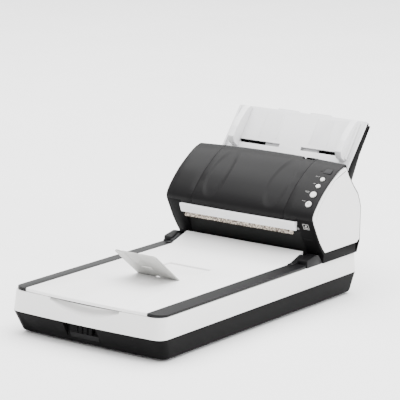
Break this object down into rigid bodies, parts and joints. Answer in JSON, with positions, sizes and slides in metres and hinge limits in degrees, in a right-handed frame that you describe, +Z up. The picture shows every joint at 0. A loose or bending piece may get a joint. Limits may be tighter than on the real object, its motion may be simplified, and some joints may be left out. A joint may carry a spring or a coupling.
{
  "type": "document scanner",
  "caption": "Flatbed document scanner with a sheet feeder, hinged document cover, stacker stopper, opening feeder door, adjustable chute guides and push buttons.",
  "frame": {"origin": "on the table, under the middle of the whole object's box", "axes": "+Z up, +Y towards the back where the paper chute is, +X to the right of someone in front of it"},
  "size_m": [0.3, 0.6286, 0.2904],
  "materials": {
    "charcoal_plastic": "matte",
    "base_dark": "matte",
    "light_plastic": "matte",
    "panel_white": "matte",
    "rail_grey": "matte",
    "stopper_grey": "matte",
    "guide_grey": "matte",
    "inner_black": "matte",
    "bracket_grey": "matte",
    "button_white": "satin",
    "window_black": "satin",
    "glass": "matte",
    "foam_white": "matte",
    "roller_rubber": "matte",
    "steel": "matte",
    "board_green": "matte",
    "belt_rubber": "matte",
    "brush_fibre": "matte",
    "gear_nylon": "matte"
  },
  "bodies": {
    "base": {"base_pan": "base_dark", "bed_frame": "light_plastic", "scan_glass": "glass", "reference_strip": "panel_white", "rubber_feet": "roller_rubber", "casing_screws": "steel", "guide_rod": "steel", "idler_bracket": "steel", "drive_belt": "belt_rubber", "carriage_motor": "steel", "main_board": "board_green", "usb_socket": "steel", "power_inlet": "inner_black", "hinge_brackets": "bracket_grey", "lid_hinge_pins": "steel", "left_end_cover": "charcoal_plastic", "operator_panel": "charcoal_plastic", "display_window": "window_black", "side_cover_left": "panel_white", "side_cover_right": "panel_white", "feeder_base_cover": "base_dark", "rear_cover": "base_dark", "feeder_frame": "inner_black", "feeder_motor": "steel", "rear_scan_unit": "inner_black", "rear_scan_glass": "glass", "chute_tray": "guide_grey", "chute_back": "base_dark"},
    "lid": {"lid_panel": "panel_white", "lid_pan": "panel_white", "document_pad": "foam_white", "lid_rail_left": "rail_grey", "lid_rail_right": "rail_grey"},
    "door": {"adf_door": "charcoal_plastic", "door_guide": "inner_black", "door_lip": "guide_grey", "static_brush": "brush_fibre", "front_scan_unit": "inner_black", "front_scan_glass": "glass", "door_hinge_pins": "steel"},
    "carriage": {"scan_carriage": "inner_black", "carriage_lamp": "glass"},
    "stopper": {"stopper_flap": "stopper_grey"},
    "tab": {"release_tab": "inner_black"},
    "function_button_body": {"function_button": "button_white"},
    "stop_button_body": {"stop_button": "button_white"},
    "scan_button_body": {"scan_button": "button_white"},
    "power_button_body": {"power_button": "button_white"},
    "pick_roller_body": {"pick_roller": "roller_rubber"},
    "feed_roller_body": {"feed_roller": "roller_rubber"},
    "eject_roller_body": {"eject_roller": "roller_rubber"},
    "brake_roller_body": {"brake_roller": "roller_rubber"},
    "pinch_rollers_body": {"pinch_rollers": "roller_rubber"},
    "side_guide_left_body": {"side_guide_left": "guide_grey"},
    "side_guide_right_body": {"side_guide_right": "guide_grey"},
    "guide_pinion_body": {"guide_pinion": "gear_nylon"},
    "chute_extension_body": {"chute_extension": "guide_grey"},
    "lock_slider_body": {"lock_slider": "base_dark"},
    "motor_pulley_body": {"motor_pulley": "gear_nylon"},
    "idler_pulley_body": {"idler_pulley": "gear_nylon"}
  },
  "joints": [
    {"name": "lid_hinge", "type": "hinge", "parent": "base", "child": "lid", "pos_m": [0, 0.11771, 0.082], "axis": [1, 0, 0], "range_deg": [-70, 0]},
    {"name": "stopper_hinge", "type": "hinge", "parent": "lid", "child": "stopper", "pos_m": [0, -0.11349, 0.0769], "axis": [1, 0, 0], "range_deg": [-142, 0]},
    {"name": "door_hinge", "type": "hinge", "parent": "base", "child": "door", "pos_m": [0, 0.11971, 0.133], "axis": [1, 0, 0], "range_deg": [0, 80]},
    {"name": "tab_hinge", "type": "hinge", "parent": "door", "child": "tab", "pos_m": [0.079, 0.20971, 0.224], "axis": [1, 0, 0], "range_deg": [0, 6], "stiffness_Nm_per_rad": 0.05},
    {"name": "function_press", "type": "slide", "parent": "base", "child": "function_button_body", "axis": [0, 0.5784, -0.8157], "range_m": [0, 0.0008], "stiffness_N_per_m": 800},
    {"name": "stop_press", "type": "slide", "parent": "base", "child": "stop_button_body", "axis": [0, 0.5784, -0.8157], "range_m": [0, 0.0008], "stiffness_N_per_m": 800},
    {"name": "scan_press", "type": "slide", "parent": "base", "child": "scan_button_body", "axis": [0, 0.6808, -0.7325], "range_m": [0, 0.0008], "stiffness_N_per_m": 800},
    {"name": "power_press", "type": "slide", "parent": "base", "child": "power_button_body", "axis": [0, 0.7596, -0.6504], "range_m": [0, 0.0008], "stiffness_N_per_m": 800},
    {"name": "feed_spin", "type": "hinge", "parent": "base", "child": "feed_roller_body", "pos_m": [0, 0.21009, 0.15055], "axis": [1, 0, 0], "continuous": true},
    {"name": "pick_spin", "type": "hinge", "parent": "base", "child": "pick_roller_body", "pos_m": [0, 0.23461, 0.17671], "axis": [1, 0, 0], "continuous": true},
    {"name": "eject_spin", "type": "hinge", "parent": "base", "child": "eject_roller_body", "pos_m": [0, 0.1503, 0.12671], "axis": [1, 0, 0], "continuous": true},
    {"name": "brake_spin", "type": "hinge", "parent": "door", "child": "brake_roller_body", "pos_m": [0, 0.21826, 0.18891], "axis": [1, 0, 0], "continuous": true},
    {"name": "pinch_spin", "type": "hinge", "parent": "door", "child": "pinch_rollers_body", "pos_m": [0, 0.20008, 0.16091], "axis": [1, 0, 0], "continuous": true},
    {"name": "guide_slide", "type": "slide", "parent": "base", "child": "side_guide_left_body", "axis": [1, 0, 0], "range_m": [-0.0015, 0.079]},
    {"name": "guide_slide_right", "type": "slide", "parent": "base", "child": "side_guide_right_body", "axis": [1, 0, 0], "range_m": [-0.079, 0.0015]},
    {"name": "guide_pinion_spin", "type": "hinge", "parent": "base", "child": "guide_pinion_body", "pos_m": [0, 0.26789, 0.23173], "axis": [0, -0.8018, 0.5976], "range_deg": [-10, 340]},
    {"name": "extension_slide", "type": "slide", "parent": "base", "child": "chute_extension_body", "axis": [0, 0.5976, 0.8018], "range_m": [0, 0.09]},
    {"name": "carriage_slide", "type": "slide", "parent": "base", "child": "carriage", "axis": [0, -1, 0], "range_m": [0, 0.312]},
    {"name": "motor_pulley_spin", "type": "hinge", "parent": "base", "child": "motor_pulley_body", "pos_m": [-0.062, 0.11571, 0.024], "axis": [1, 0, 0], "range_deg": [-100, 3100]},
    {"name": "idler_pulley_spin", "type": "hinge", "parent": "base", "child": "idler_pulley_body", "pos_m": [-0.062, -0.27229, 0.024], "axis": [1, 0, 0], "range_deg": [-100, 3100]},
    {"name": "lock_slide", "type": "slide", "parent": "base", "child": "lock_slider_body", "axis": [1, 0, 0], "range_m": [0, 0.0095]}
  ],
  "couplings": [
    {"joint": "pick_spin", "follows": "feed_spin", "ratio": 0.8},
    {"joint": "eject_spin", "follows": "feed_spin", "ratio": 1.15},
    {"joint": "guide_slide_right", "follows": "guide_slide", "ratio": -1},
    {"joint": "guide_pinion_spin", "follows": "guide_slide", "rad_per_m": 74.074},
    {"joint": "motor_pulley_spin", "follows": "carriage_slide", "rad_per_m": 166.67},
    {"joint": "idler_pulley_spin", "follows": "carriage_slide", "rad_per_m": 166.67}
  ]
}
